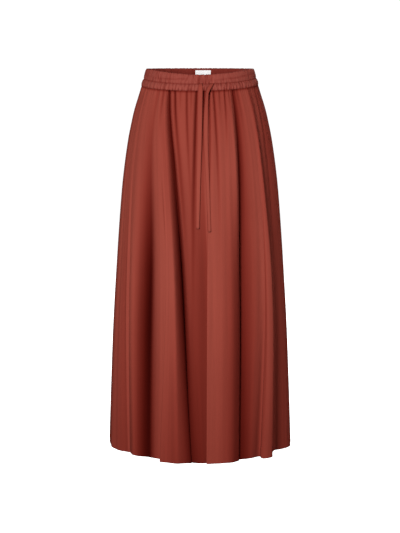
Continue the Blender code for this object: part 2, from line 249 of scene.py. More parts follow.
# %% Pressed pleats
# A step is in mm, and a lap in degrees. Below 0, a step faces the other way.
Pleat = namedtuple("Pleat", "hem_angle width step_waist step_hip step_knee step_hem lap_knee lap_hem")
PLEATS = (
    Pleat(-54.9, 1.1, 0, 0, -1.9, -0.5, 0, 0),
    Pleat(-23.9, 2, 0, 0.3, 2.8, 6.5, 1.8, 2.6),
    Pleat(-5.6, 1.8, 0, -0.5, -2, -3, 0.8, 1.8),
    Pleat(4.8, 1.3, 0, 0.5, 3.8, 3.2, 2.2, 2.4),
    Pleat(25.9, 1.8, 0, -1.5, -3, -2, 1, 0.8),
    Pleat(40, 2, 0, 0, 0.4, 5, 1.4, 2.8),
    Pleat(47.8, 3, -0.6, -4.8, -10.5, -12, 2, 3.2),
    Pleat(109, 2.2, 0, 0.6, 3, 5.5, 1.8, 3),
    Pleat(133, 2.2, 0, 0.4, 2.6, 6, 1.8, 3.2),
    Pleat(164, 2, 0, 0.5, 2.8, 4.5, 1.9, 3),
    Pleat(199, 2.2, 0, 0.5, 3.2, 6, 2, 3.2),
    Pleat(232, 2.2, 0, 0.4, 2.8, 5.5, 1.8, 3),
)
print(len(PLEATS), "pressed pleats")

# %% Gathers
# Where a gather starts at the waist and heads for at the hip, its depth in mm, how far down it
# reaches and how wide it is.
Gather = namedtuple("Gather", "waist hip depth reach width")
FRONT_GATHERS = (
    Gather(-24, -14.5, 3.6, 0.095, 1.1),
    Gather(-18.5, -13, 1.2, 0.035, 1),
    Gather(-12.3, -8, 2.6, 0.16, 1.1),
    Gather(-8, -6, 1.3, 0.04, 0.9),
    Gather(-3.2, -4.2, 4.2, 0.33, 1.3),
    Gather(3.7, 2.4, 4.4, 0.11, 1.2),
    Gather(8.6, 7, 2.3, 0.26, 0.9),
    Gather(12.8, 13.2, 2.8, 0.2, 1.1),
    Gather(18, 16, 1.4, 0.045, 0.9),
    Gather(23.4, 20, 2.4, 0.085, 1),
    Gather(27.6, 25, 1.3, 0.04, 0.9),
    Gather(-36.5, -33, 1.5, 0.06, 1.4),
    Gather(-43, -40, 1, 0.09, 1.8),
    Gather(38.5, 38.5, 1.1, 0.07, 1.4),
)
BACK_GATHERS = (
    Gather(103, 104, 1, 0.06, 1.6),
    Gather(115, 115, 1.4, 0.08, 1.6),
    Gather(128, 128, 2.6, 0.07, 1.4),
    Gather(136.5, 136, 1.6, 0.06, 1.2),
    Gather(143, 142, 3.6, 0.11, 1.2),
    Gather(151, 149.5, 2.2, 0.05, 1.1),
    Gather(158.5, 158, 4.4, 0.14, 1.2),
    Gather(164.5, 164.5, 2, 0.05, 1),
    Gather(170.5, 171.5, 4, 0.09, 1.1),
    Gather(176.5, 178, 2.2, 0.045, 1),
    Gather(182.5, 185, 5, 0.16, 1.2),
    Gather(190, 193, 2.4, 0.06, 1),
    Gather(197, 200, 4, 0.1, 1.2),
    Gather(203.5, 206.5, 3, 0.08, 1.1),
    Gather(210, 213, 1.8, 0.045, 1),
    Gather(217, 220, 4.2, 0.12, 1.3),
    Gather(226, 229, 1.8, 0.06, 1.2),
    Gather(233, 236, 2.8, 0.07, 1.3),
    Gather(247, 249, 1.4, 0.08, 1.6),
)
print(len(FRONT_GATHERS), "gathers in front and", len(BACK_GATHERS), "behind")

# %% [markdown]
# ## The waistband's lines
#
# The band has three lines: its folded top edge, the stitching between the two channels, and the
# seam to the skirt. Each line dips a little at the front, where the band lies lower.

# %% Band lines
BandLine = namedtuple("BandLine", "height front_dip power tilt")
BAND_TOP = BandLine(0.0205, 0.0120, 2.7, 0.0)
BAND_STITCH = BandLine(0.0, 0.0122, 1.2, 0.0010)
BAND_SEAM = BandLine(-0.0160, 0.0115, 1.2, 0.0012)
# The panels' top edges go this far up behind the band's seam.
SEAM_TUCK = 0.0025
HEM_HEIGHT = -0.858
HEM_FRONT_DROP = 0.004
# The hem hangs a little lower in the deep folds, and is drawn up at the left side seam.
HemDip = namedtuple("HemDip", "hem_angle width drop")
HEM_DIPS = (
    HemDip(-37.5, 6.0, 0.0035),
    HemDip(-5.6, 4.6, 0.0040),
    HemDip(25.9, 4.6, 0.0030),
    HemDip(-90.0, 15.0, -0.0080),
    HemDip(270.0, 15.0, -0.0080),
)


def band_height(line, degrees):
    angle = np.radians(degrees)
    dip = np.maximum(np.cos(angle), 0.0) ** line.power
    return line.height - line.front_dip * dip + line.tilt * np.sin(angle)


def hem_height(degrees):
    height = HEM_HEIGHT - HEM_FRONT_DROP * np.maximum(np.cos(np.radians(degrees)), 0.0)
    for dip in HEM_DIPS:
        height = height - dip.drop * bump(degrees, dip.hem_angle, dip.width)
    return height


print("band:", round(BAND_TOP.height - BAND_SEAM.height, 4), "m high at the sides")

# %% [markdown]
# ## A point of the folded cloth
#
# This is the heart of the model. It adds the folds to the oval, then small unevenness: fine
# puckers where the seam gathers the cloth, and slow ripples that no table needs to list.

# %% Unevenness
# A slow wander is a sum of waves: their size, how many go round, and how a seed moves them.
Wave = namedtuple("Wave", "size count turn start")
WAVES = (
    Wave(0.45, 7, 1.7, 0.0),
    Wave(0.35, 17, 2.9, 1.0),
    Wave(0.20, 37, 0.6, 2.0),
)
# Slow ripples: how many go round the skirt, where they start, and their depth in mm at the waist
# and the hem. They lean over a little as they fall.
RIPPLE_LEAN = 0.8
Ripple = namedtuple("Ripple", "count start waist hem")
RIPPLES = (
    Ripple(19, 0.7, 0.25, 0.9),
    Ripple(31, 2.1, 0.30, 0.7),
    Ripple(47, 4.0, 0.16, 0.30),
    Ripple(83, 1.3, 0.06, 0.14),
)


def uneven(degrees, seed):
    """A slow, repeatable wander between about -1 and 1 as the angle goes round."""
    angle = np.radians(degrees)
    return sum(wave.size * np.sin(wave.count * angle + wave.turn * seed + wave.start) for wave in WAVES)


print("wander at the front:", round(float(uneven(0, 1)), 2))

# %% Cloth points
MM = 0.001
# Puckers: one every few degrees, their depth in mm, how far below the seam they reach, how far
# they stray sideways, and how even their depth is.
PUCKER_PITCH, PUCKER_DEPTH, PUCKER_REACH = 2.9, 0.75, 0.016
PUCKER_WANDER, PUCKER_EVENNESS = 0.8, 0.6
SEAM_HOLD, SEAM_HOLD_REACH = 0.95, 0.0055
# A gather's line runs on a little past its places at the waist and the hip.
GATHER_RUN = (-0.2, 1.6)


def pleat_wave(hem_angle, pleat):
    """An S-shaped wave, from -1 to 1 across a pleat's edge, that fades beyond it."""
    place = (hem_angle - pleat.hem_angle) / pleat.width
    return place * np.exp((1 - place**2) / 2)


def gather_line(gather, height):
    """Where a gather lies at each height, from its place at the waist to its place at the hip."""
    down = (LEVELS[0] - height) / (LEVELS[0] - LEVELS[1])
    return gather.waist + (gather.hip - gather.waist) * np.clip(down, *GATHER_RUN)


def cloth_points(guides, gathers, hem_angle, height):
    """Points of the folded cloth, for a grid of hem angles and heights."""
    angle = angle_at(guides, hem_angle, height)
    below_seam = band_height(BAND_SEAM, angle) - height
    out, along = 0.0 * angle, 0.0 * angle
    for fold in SOFT_FOLDS:
        out += read_table(LEVELS, fold[2:], height) * bump(hem_angle, fold.hem_angle, fold.width)
    for pleat in PLEATS:
        steps = (pleat.step_waist, pleat.step_hip, pleat.step_knee, pleat.step_hem)
        laps = (0.0, 0.0, pleat.lap_knee, pleat.lap_hem)
        wave = pleat_wave(hem_angle, pleat)
        out += read_table(LEVELS, steps, height) * wave
        along -= read_table(LEVELS, laps, height) * wave
    for gather in gathers:
        fade = bump(below_seam, 0, gather.reach)
        out -= gather.depth * fade * bump(angle, gather_line(gather, height), gather.width)
    # The seam holds the cloth to the band, so every fold opens just below it.
    out *= 1 - SEAM_HOLD * bump(np.maximum(below_seam + SEAM_TUCK, 0), 0, SEAM_HOLD_REACH)
    pucker = np.cos(2 * np.pi * (angle / PUCKER_PITCH + PUCKER_WANDER * uneven(angle, 1)))
    varied = PUCKER_EVENNESS + (1 - PUCKER_EVENNESS) * uneven(angle, 3)
    fade = bump(below_seam, 0, PUCKER_REACH) * varied
    out += PUCKER_DEPTH * fade * pucker
    down = np.clip((LEVELS[0] - height) / (LEVELS[0] - LEVELS[-1]), 0, 1)
    for ripple in RIPPLES:
        depth = ripple.waist + (ripple.hem - ripple.waist) * down
        out += depth * np.sin(ripple.count * np.radians(hem_angle) + ripple.start + RIPPLE_LEAN * down)
    point, away = base_point(angle, height)
    across = np.stack([-away[..., 1], away[..., 0], 0 * out], -1)
    # A lap is an angle, so the oval's mean radius makes it a length.
    diagonal = np.hypot(section_size("half_width", height), section_size("front_depth", height))
    shift = np.radians(along) * diagonal / math.sqrt(2)
    return point + away * (out * MM)[..., None] + across * shift[..., None]


print("front centre:", cloth_points(FRONT_GUIDES, FRONT_GATHERS, np.zeros(4), np.array(LEVELS)).round(3))

# %% [markdown]
# ## Shade in the folds
#
# Light hardly reaches the bottom of a deep fold, so the cloth looks deeper in colour there. That
# shade is painted into the colour: a shade from 0 to 1 is worked out for each vertex and kept as an
# attribute, which the cloth's material reads. It follows the cloth, not the camera.

# %% Shade
# How wide a shaded stretch is on its left and its right, and how strong it is at each level.
Shade = namedtuple("Shade", "hem_angle left right waist hip knee hem")
SHADES = (
    Shade(-56.2, 12, 0.4, 0, 0, 0.2, 0.24),
    Shade(-37.6, 5.4, 3.4, 0, 0.4, 0.97, 0.97),
    Shade(-36, 11, 5.5, 0, 0, 0.14, 0.5),
    Shade(-24.4, 0.7, 0.6, 0, 0, 0.5, 0.36),
    Shade(-15, 7, 6, 0.06, 0.1, 0.02, 0.28),
    Shade(-4.9, 3.4, 1.5, 0.88, 0.92, 0.5, 0.3),
    Shade(-4.9, 4.9, 2.4, 0, 0.2, 0.93, 0.92),
    Shade(-2.2, 2.4, 2.4, 0, 0, 0, 0.36),
    Shade(-1.4, 0.5, 0.6, 0.1, 0.36, 0, 0),
    Shade(0.5, 4, 3.4, 0, 0, 0.18, 0.46),
    Shade(3.5, 3.6, 0.4, 0, 0.16, 0.36, 0.22),
    Shade(12, 14, 14, 0.13, 0, 0, 0),
    Shade(25.9, 1, 3.4, 0.75, 0.88, 0.6, 0.4),
    Shade(24.7, 9.5, 2, 0, 0, 0.45, 0.56),
    Shade(26.3, 1.2, 8.5, 0.16, 0.16, 0.48, 0.8),
    Shade(41.4, 0.6, 0.6, 0, 0, 0.34, 0.1),
    Shade(46, 3, 2, 0.26, 0.36, 0.2, 0.24),
    Shade(62, 9, 40, 0.24, 0.3, 0.3, 0.26),
    Shade(119, 5.5, 5.5, 0, 0.3, 0.75, 0.75),
    Shade(146, 4.4, 4.4, 0.3, 0.55, 0.8, 0.8),
    Shade(182, 5, 5, 0.4, 0.65, 0.9, 0.9),
    Shade(217, 4.6, 4.6, 0.4, 0.6, 0.85, 0.85),
    Shade(248, 5.6, 5.6, 0.1, 0.3, 0.85, 0.85),
)
# A little painted shade all over, given at the waist, hip, knee and hem, where the light falls off
# towards the waist and the hem; and painted shade just below the band.
FALLOFF_SHADE = (0.12, 0.08, 0.03, 0.22)
SEAM_SHADE = 0.55
SEAM_SHADE_REACH = 0.0030
# A gather's shade: for each mm of its depth, at most, and its width as a share of the gather's.
GATHER_SHADE, GATHER_SHADE_LIMIT, GATHER_SHADE_WIDTH = 0.22, 0.8, 0.9


def shade_of(guides, gathers, hem_angle, height):
    """Painted shade at each point, from 0 to 1: in folds and gathers, below the band, and where light
    falls off.
    """
    light = np.ones(np.broadcast(hem_angle, height).shape)
    for fold in SHADES:
        width = np.where(hem_angle < fold.hem_angle, fold.left, fold.right)
        light *= 1 - read_table(LEVELS, fold[3:], height) * bump(hem_angle, fold.hem_angle, width)
    angle = angle_at(guides, hem_angle, height)
    below_seam = band_height(BAND_SEAM, angle) - height
    for gather in gathers:
        line = gather_line(gather, height)
        fade = bump(below_seam, 0, gather.reach) * bump(angle, line, GATHER_SHADE_WIDTH * gather.width)
        light *= 1 - min(GATHER_SHADE * gather.depth, GATHER_SHADE_LIMIT) * fade
    light *= 1 - read_table(LEVELS, FALLOFF_SHADE, height)
    light *= 1 - SEAM_SHADE * bump(below_seam, 0, SEAM_SHADE_REACH)
    return 1 - light


print(len(SHADES), "shaded stretches")

# %% [markdown]
# ## Sheets
#
# `bmesh.ops.create_grid` makes a flat grid, and each of its vertices is then moved to its cloth
# point. The grid keeps its rows and columns, so a UV map in metres of cloth comes with it: U
# runs round the skirt and V down it, and the weave can follow the threads.

# %% Sheet builder


def new_object(name, mesh):
    piece = bpy.data.objects.new(name, mesh)
    scene.collection.objects.link(piece)
    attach(piece, "root")
    return piece


def sheet_mesh(name, points, uv, shade=None):
    """A grid whose point in each row and column is given, with a UV map in metres."""
    down, across = points.shape[:2]
    made = bmesh.new()
    bmesh.ops.create_grid(made, x_segments=across - 1, y_segments=down - 1, size=0.5)
    mesh = bpy.data.meshes.new(name)
    made.to_mesh(mesh)
    made.free()
    flat = np.empty(len(mesh.vertices) * 3, np.float32)
    mesh.vertices.foreach_get("co", flat)
    flat = flat.reshape(-1, 3)
    column = np.rint((flat[:, 0] + 0.5) * (across - 1)).astype(int)
    row = np.rint((0.5 - flat[:, 1]) * (down - 1)).astype(int)
    mesh.vertices.foreach_set("co", points[row, column].astype(np.float32).ravel())
    corners = np.empty(len(mesh.loops), np.int32)
    mesh.loops.foreach_get("vertex_index", corners)
    layer = mesh.uv_layers.new(name="cloth")
    layer.data.foreach_set("uv", uv[row, column][corners].astype(np.float32).ravel())
    if shade is not None:
        held = mesh.attributes.new("shade", "FLOAT", "POINT")
        held.data.foreach_set("value", shade[row, column].astype(np.float32))
    mesh.shade_smooth()
    mesh.update()
    return mesh


def lengths_across(points):
    """How far along the cloth each column lies, in metres, measured on the last row."""
    steps = np.linalg.norm(np.diff(points[-1], axis=0), axis=-1)
    return np.concatenate([[0.0], np.cumsum(steps)])


def thicken(piece, wall):
    """Gives a sheet its thickness, half of it on each side."""
    solid = piece.modifiers.new("wall", "SOLIDIFY")
    solid.thickness = wall
    solid.offset = 0.0


# %% [markdown]
# ## The two skirt panels
#
# The columns are packed closer at the pleats, where the cloth turns sharply, and the rows closer
# below the band, where the gathers are short. The last rows turn the hem: they go on past the
# hem's fold and up the inside, as a maker folds and presses it.

# %% Columns of a panel
PANEL_COLUMNS = 450
PLEAT_CROWDING, PLEAT_CROWDING_WIDTH = 3.0, 1.6
WAIST_CROWDING = 1.2
CROWDING_STEPS = 4000


def crowded_columns(guides, count):
    """Hem angles across a panel, closer at the pleats and where the waist is less gathered."""
    hems, waists = [guide.hem for guide in guides], [guide.waist for guide in guides]
    fine = np.linspace(hems[0], hems[-1], CROWDING_STEPS)
    density = 1 + WAIST_CROWDING * np.gradient(np.interp(fine, hems, waists), fine)
    for pleat in PLEATS:
        density += PLEAT_CROWDING * bump(fine, pleat.hem_angle, PLEAT_CROWDING_WIDTH * pleat.width)
    amount = np.cumsum(density)
    return np.interp(np.linspace(amount[0], amount[-1], count), amount, fine)


print("widest column:", np.diff(crowded_columns(FRONT_GUIDES, PANEL_COLUMNS)).max().round(2), "degrees")

# %% Skirt panels
PANEL_ROWS = 88
ROW_CROWDING = 1.25
# The last rows before the hem's fold, as shares of the way down.
HEM_ROWS = (0.9965, 0.9988, 0.9996, 1.0)
HEM_TURN = 0.025
HEM_TURN_ROWS = 6
HEM_INSET = 0.0013
CLOTH_THICKNESS = 0.0006
SIDE_TUCK, SIDE_TUCK_REACH = 0.0016, 0.9


def move_in(points, amount):
    """Points moved level towards the middle of the skirt."""
    inward = -points * [1, 1, 0] / np.linalg.norm(points[..., :2], axis=-1, keepdims=True)
    return points + inward * amount[..., None]


def panel_points(guides, gathers):
    """The panel's points, with its hem turned up inside."""
    hem_angle = crowded_columns(guides, PANEL_COLUMNS)[None, :]
    upper_rows = np.linspace(0, HEM_ROWS[0], PANEL_ROWS) ** ROW_CROWDING
    share = np.concatenate([upper_rows, HEM_ROWS])[:, None]
    top = band_height(BAND_SEAM, angle_at(guides, hem_angle, LEVELS[0])) + SEAM_TUCK
    height = top + share * (hem_height(hem_angle) - top)
    points = cloth_points(guides, gathers, hem_angle, height)
    # The side edges tuck in a little, where the side seam holds them.
    edge = np.minimum(hem_angle - hem_angle.min(), hem_angle.max() - hem_angle)
    tuck = SIDE_TUCK * np.exp(-edge / SIDE_TUCK_REACH)
    points = move_in(points, tuck)
    rise = np.linspace(0, HEM_TURN, HEM_TURN_ROWS + 1)[1:, None]
    inside = cloth_points(guides, gathers, hem_angle, hem_height(hem_angle) + rise)
    inside = move_in(inside, HEM_INSET + tuck)
    lengths = np.concatenate([height, 2 * hem_height(hem_angle) - height[-1:] - rise + 0 * hem_angle])
    shade = shade_of(guides, gathers, hem_angle, np.maximum(lengths, hem_height(hem_angle)))
    return np.concatenate([points, inside]), -lengths, shade, len(points)


def add_panel(name, node, guides, gathers):
    points, down, shade, rows = panel_points(guides, gathers)
    across = lengths_across(points[:rows])
    uv = np.stack([np.broadcast_to(across, down.shape), down], -1)
    piece = new_object(name, sheet_mesh(name, points, uv, shade))
    thicken(piece, CLOTH_THICKNESS)
    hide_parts(node)
    waist = np.linalg.norm(np.diff(points[0], axis=0), axis=-1).sum()
    print(name, "hem cut", round(across[-1], 3), "m, waist", round(waist, 3), "m")
    return piece, across[-1]


front_skirt, front_cut = add_panel("front_skirt", "front_panel", FRONT_GUIDES, FRONT_GATHERS)
back_skirt, back_cut = add_panel("back_skirt", "back_panel", BACK_GUIDES, BACK_GATHERS)

# %% [markdown]
# ## The waistband
#
# The band is a strip folded in half over the elastic, with a line of stitching that makes a
# second channel for the drawstring. Elastic makes the cloth crumple into short creases that run
# up from each stitch line, with a soft puff between two of them. The profile below goes once
# round the folded strip: down the outside, under the seam, and up the inside.

# %% Waistband profile
# How far down its channel a row lies, how far out it stands in mm, how much it takes of the
# creases, and how much painted shade it has of its own: in the stitch grooves, at the seam and
# the top edge, and on the inside of the band.
BandRow = namedtuple("BandRow", "channel share out crumple shade")
BAND_PROFILE = (
    BandRow("upper", 0, 0, 0.6, 0.4),
    BandRow("upper", 0.03, 0.8, 0.8, 0.2),
    BandRow("upper", 0.1, 1.4, 1, 0.06),
    BandRow("upper", 0.2, 1.8, 1, 0.06),
    BandRow("upper", 0.3, 2, 1, 0.06),
    BandRow("upper", 0.4, 2.1, 1, 0.06),
    BandRow("upper", 0.5, 2.1, 1, 0.06),
    BandRow("upper", 0.6, 2.1, 1, 0.06),
    BandRow("upper", 0.7, 2, 1, 0.06),
    BandRow("upper", 0.79, 1.8, 1, 0.06),
    BandRow("upper", 0.87, 1.4, 1, 0.05),
    BandRow("upper", 0.93, 0.8, 1, 0.1),
    BandRow("upper", 0.98, -0.1, 0.9, 0.32),
    BandRow("lower", 0.03, -0.2, 0.9, 0.32),
    BandRow("lower", 0.1, 0.9, 0.8, 0.1),
    BandRow("lower", 0.2, 1.9, 1, 0),
    BandRow("lower", 0.32, 2.5, 1, 0),
    BandRow("lower", 0.44, 2.8, 1, 0),
    BandRow("lower", 0.56, 2.9, 1, 0),
    BandRow("lower", 0.68, 2.8, 1, 0),
    BandRow("lower", 0.79, 2.4, 1, 0),
    BandRow("lower", 0.88, 1.8, 1, 0.1),
    BandRow("lower", 0.95, 1.2, 0.95, 0.22),
    BandRow("lower", 1, 0.4, 0.8, 0.5),
    BandRow("lower", 0.99, -0.8, 0.2, 0.6),
    BandRow("lower", 0.8, -1.6, 0.3, 0.4),
    BandRow("lower", 0.45, -1.7, 0.4, 0.4),
    BandRow("lower", 0.1, -1.2, 0.2, 0.45),
    BandRow("upper", 0.8, -1.5, 0.4, 0.5),
    BandRow("upper", 0.55, -1.7, 0.5, 0.48),
    BandRow("upper", 0.3, -1.7, 0.6, 0.44),
    BandRow("upper", 0.12, -1.4, 0.6, 0.42),
    BandRow("upper", 0.03, -0.8, 0.6, 0.45),
)
# A row that stands further in than this, in mm, is on the inside of the band.
INSIDE = -0.5
OUTER_ROWS = sum(row.out > INSIDE for row in BAND_PROFILE)
BAND_COLUMNS = 680
# The whole band stands this far in from the oval.
BAND_SETBACK = 0.0006
print(len(BAND_PROFILE), "rows in the profile,", OUTER_ROWS, "of them outside")

# %% [markdown]
# ### Creases of the elastic
#
# A crease is one row of numbers: where it is, how wide and deep, where on its channel it is
# deepest, how far it reaches and how it leans. Elastic is never regular, so five kinds of crease
# are spread round the waist with a seeded shake. The same seed gives the same skirt each time.

# %% Creases
# The pitch, width and slant are in degrees, the depth in mm, and the rest in shares of a channel.
CreaseKind = namedtuple("CreaseKind", "channel pitch width depth centre reach slant")
CREASE_KINDS = (
    CreaseKind("upper", 3.0, 0.62, 1.6, 1.00, 0.42, 1.5),
    CreaseKind("upper", 2.7, 0.55, 1.3, 0.00, 0.30, 1.0),
    CreaseKind("upper", 6.0, 0.90, 1.1, 0.50, 0.30, 5.0),
    CreaseKind("lower", 2.9, 0.66, 2.2, 1.00, 0.60, 0.9),
    CreaseKind("lower", 3.3, 0.60, 1.6, 0.05, 0.35, 0.9),
)
# The centre front is pressed into fine upright tucks, above where the ties come out.
CENTRE_TUCK = CreaseKind("upper", 1.4, 0.34, 1.0, 0.62, 0.42, 0.4)
CENTRE_TUCKS, CENTRE_TUCK_START = 9, -1.6
# How far a crease may stray from its kind: its place in pitches, and the rest in shares.
CREASE_SEED = 11
SHAKE_PLACE = (-0.38, 0.38)
SHAKE_WIDTH = (0.7, 1.5)
SHAKE_DEPTH = (0.3, 1.4)
SHAKE_REACH = (0.6, 1.5)
SHAKE_SLANT = (-1, 1)
SHAKE_CENTRE_DEPTH = (0.35, 0.8)
Crease = namedtuple("Crease", "channel angle width depth centre reach slant")


def shaken(kind, k, shake):
    """The crease of a kind that stands k pitches from the left side seam."""
    angle = (k + shake.uniform(*SHAKE_PLACE)) * kind.pitch - 90
    width = kind.width * shake.uniform(*SHAKE_WIDTH)
    depth = kind.depth * shake.uniform(*SHAKE_DEPTH)
    reach = kind.reach * shake.uniform(*SHAKE_REACH)
    slant = kind.slant * shake.uniform(*SHAKE_SLANT)
    return Crease(kind.channel, angle, width, depth, kind.centre, reach, slant)


def spread_creases(seed):
    shake = np.random.default_rng(seed)
    made = []
    for kind in CREASE_KINDS:
        made += [shaken(kind, k, shake) for k in range(int(360 / kind.pitch))]
    for k in range(CENTRE_TUCKS):
        angle = CENTRE_TUCK_START + CENTRE_TUCK.pitch * k
        depth = CENTRE_TUCK.depth * shake.uniform(*SHAKE_CENTRE_DEPTH)
        made.append(Crease(CENTRE_TUCK.channel, angle, CENTRE_TUCK.width, depth, *CENTRE_TUCK[4:]))
    return made


CREASES = spread_creases(CREASE_SEED)
print(len(CREASES), "creases in the band")

# %% Depth of the creases
# How strongly the band is creased on its way round, in each channel.
Strength = namedtuple("Strength", "degrees upper lower")
STRENGTHS = (
    Strength(-90, 0.8, 0.5),
    Strength(-50, 1.0, 0.5),
    Strength(-36, 0.6, 0.7),
    Strength(-14, 0.6, 1.0),
    Strength(-6, 1.5, 0.9),
    Strength(6, 1.5, 0.9),
    Strength(14, 0.5, 1.1),
    Strength(55, 0.5, 1.1),
    Strength(90, 0.8, 1.0),
    Strength(180, 1.1, 1.0),
    Strength(270, 0.8, 0.5),
)
# Creases that lie on one another add up to this depth at most, in mm.
CREASE_LIMIT = 2.4
# A crease whose reach leaves less than this share of it is passed over.
CREASE_LEAST = 0.03


def round_waist(table, column, degrees):
    """A column of a table of places round the waist, read at any angles."""
    return np.interp(degrees, [row.degrees for row in table], [getattr(row, column) for row in table])


def crumple(channel, degrees, share):
    """How deep the creases are, in mm, at a place on a channel."""
    total = 0.0 * degrees
    for crease in CREASES:
        if crease.channel != channel:
            continue
        reach = bump(share, crease.centre, crease.reach)
        if reach < CREASE_LEAST:
            continue
        angle = crease.angle + crease.slant * (share - crease.centre)
        total += crease.depth * reach * bump((degrees - angle + 180) % 360 - 180, 0, crease.width)
    total *= round_waist(STRENGTHS, channel, degrees)
    return CREASE_LIMIT * (1 - np.exp(-total / CREASE_LIMIT))


print("deepest at the seam:", crumple("lower", np.arange(-90, 90), 1.0).max().round(2), "mm")

# %% The long tuck
# A pressed tuck runs along the upper channel: where it lies across the channel, and its depth in mm.
Tuck = namedtuple("Tuck", "degrees share depth")
TUCKS = (
    Tuck(-90, 0.50, 0.2),
    Tuck(-60, 0.62, 0.5),
    Tuck(-36, 0.66, 1.2),
    Tuck(-20, 0.52, 1.0),
    Tuck(-8, 0.50, 0.0),
    Tuck(8, 0.60, 0.0),
    Tuck(18, 0.66, 0.8),
    Tuck(34, 0.56, 1.4),
    Tuck(60, 0.50, 1.2),
    Tuck(90, 0.50, 0.4),
    Tuck(130, 0.55, 1.0),
    Tuck(160, 0.45, 0.4),
    Tuck(200, 0.55, 1.0),
    Tuck(240, 0.50, 0.6),
    Tuck(270, 0.50, 0.2),
)
TUCK_WIDTH, TUCK_WANDER, TUCK_STRENGTH = 0.075, 0.05, 0.65


def tuck_at(degrees, share):
    """How deep the tuck is, in mm, at a place on the upper channel."""
    line = round_waist(TUCKS, "share", degrees) + TUCK_WANDER * uneven(degrees, 5)
    return TUCK_STRENGTH * round_waist(TUCKS, "depth", degrees) * bump(share, line, TUCK_WIDTH)


print("deepest in the tuck:", tuck_at(np.arange(-90, 90), 0.56).max().round(2), "mm")

# %% Band points
# The top edge is scalloped by the creases that reach it, down to a third of the channel.
RIM_SCALLOP, RIM_FADE, RIM_MEAN = 0.8, 3, 0.5
# Creases move the cloth in and out about a mean depth, which leaves the band its girth. They
# pinch it from the inside as well, but less.
CREASE_MEAN, CREASE_INSIDE = 0.7, -0.6
CREASE_SHADE, CREASE_SHADE_LIMIT = 0.28, 0.75
# The lines of stitching lie less deep at the sides, where the band is stretched.
SIDE_GROOVE = 0.9
STITCH_SHARES = (0.05, 0.9)


def band_points(degrees):
    """Points of the band and their shade: a row for each step of the profile, closed to a loop."""
    rows, shades = [], []
    rim = crumple("upper", degrees, 0.0)
    for step in BAND_PROFILE + BAND_PROFILE[:1]:
        upper = step.channel == "upper"
        top = band_height(BAND_TOP if upper else BAND_STITCH, degrees)
        bottom = band_height(BAND_STITCH if upper else BAND_SEAM, degrees)
        height = top + step.share * (bottom - top)
        if upper:
            height = height - max(1 - RIM_FADE * step.share, 0) * RIM_SCALLOP * MM * (rim - RIM_MEAN)
        outside = step.out > INSIDE
        depth = crumple(step.channel, degrees, step.share)
        if upper and outside:
            depth = depth + tuck_at(degrees, step.share)
        point, away = base_point(degrees, height)
        out = step.out - step.crumple * (depth - CREASE_MEAN) * (1 if outside else CREASE_INSIDE)
        stitched = step.share > STITCH_SHARES[1] or (not upper and step.share < STITCH_SHARES[0])
        if stitched and outside:
            out = out + SIDE_GROOVE * np.abs(np.sin(np.radians(degrees))) ** 4
        rows.append(point + away * (out * MM - BAND_SETBACK)[..., None])
        creased = np.minimum(CREASE_SHADE * step.crumple * depth, CREASE_SHADE_LIMIT)
        shades.append(1 - (1 - step.shade) * (1 - creased))
    return np.array(rows), np.array(shades)


print("deepest shade in the band:", band_points(np.arange(-90, 90))[1].max().round(2))

# %% Band pieces
WELD_DISTANCE = 1e-6


def add_band(name, node, low, high):
    degrees = np.linspace(low, high, BAND_COLUMNS)
    points, shade = band_points(degrees)
    across = lengths_across(points[:1])
    down = lengths_across(points[None, :, 0])
    uv = np.stack(np.meshgrid(across, down), -1)
    mesh = sheet_mesh(name, points, uv, shade)
    closed = bmesh.new()
    closed.from_mesh(mesh)
    bmesh.ops.remove_doubles(closed, verts=closed.verts, dist=WELD_DISTANCE)
    ends = [edge for edge in closed.edges if edge.is_boundary]
    bmesh.ops.holes_fill(closed, edges=ends, sides=0)
    closed.to_mesh(mesh)
    closed.free()
    mesh.shade_smooth()
    piece = new_object(name, mesh)
    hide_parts(node)
    print(name, len(mesh.vertices), "vertices, girth", round(across[-1], 3), "m")
    return piece


band_front = add_band("band_front", "waistband_front", -90, 90)
band_back = add_band("band_back", "waistband_back", 90, 270)

# %% [markdown]
# ## The drawstring's free ends
#
# The tie is a flat strip of the same cloth. It comes out at the stitching between the channels
# and hangs down the front. The left end hangs straight, and the right one turns on its edge as
# it leaves the band. A tie lies on the cloth behind it, so its depth is read from that cloth.

# %% Routes of the ties
# Across from the middle, how far the tie lifts off the cloth, and how far it is turned.
RoutePoint = namedtuple("RoutePoint", "height across lift twist half_width")
TIE_ROUTES = {
    "tie_left": (
        RoutePoint(-0.0112, 0.0014, -0.0030, 0, 0.0038),
        RoutePoint(-0.0128, 0.0014, 0.0008, 0, 0.0042),
        RoutePoint(-0.0250, 0.0010, 0.0014, 4, 0.0050),
        RoutePoint(-0.0560, 0.0002, 0.0016, 6, 0.0053),
        RoutePoint(-0.1400, -0.0012, 0.0014, -6, 0.0051),
        RoutePoint(-0.2200, -0.0032, 0.0014, 0, 0.0045),
        RoutePoint(-0.3310, -0.0049, 0.0012, 10, 0.0034),
    ),
    "tie_right": (
        RoutePoint(-0.0108, 0.0275, -0.0030, -4, 0.0040),
        RoutePoint(-0.0124, 0.0262, 0.0008, -8, 0.0046),
        RoutePoint(-0.0200, 0.0208, 0.0020, -30, 0.0050),
        RoutePoint(-0.0330, 0.0160, 0.0024, -46, 0.0044),
        RoutePoint(-0.0900, 0.0132, 0.0008, -12, 0.0046),
        RoutePoint(-0.1500, 0.0136, 0.0006, 6, 0.0045),
        RoutePoint(-0.2440, 0.0176, 0.0006, 16, 0.0038),
        RoutePoint(-0.3370, 0.0212, 0.0006, 24, 0.0030),
    ),
}
print("routes:", [(name, len(route)) for name, route in TIE_ROUTES.items()])

# %% The cloth behind a tie
# The cloth is looked at over this many degrees on each side, and counts when it is this near.
LOOK_ASIDE, LOOK_STEPS, LOOK_NEAR = 12, 49, 0.0055
COLUMN_STEPS = 721


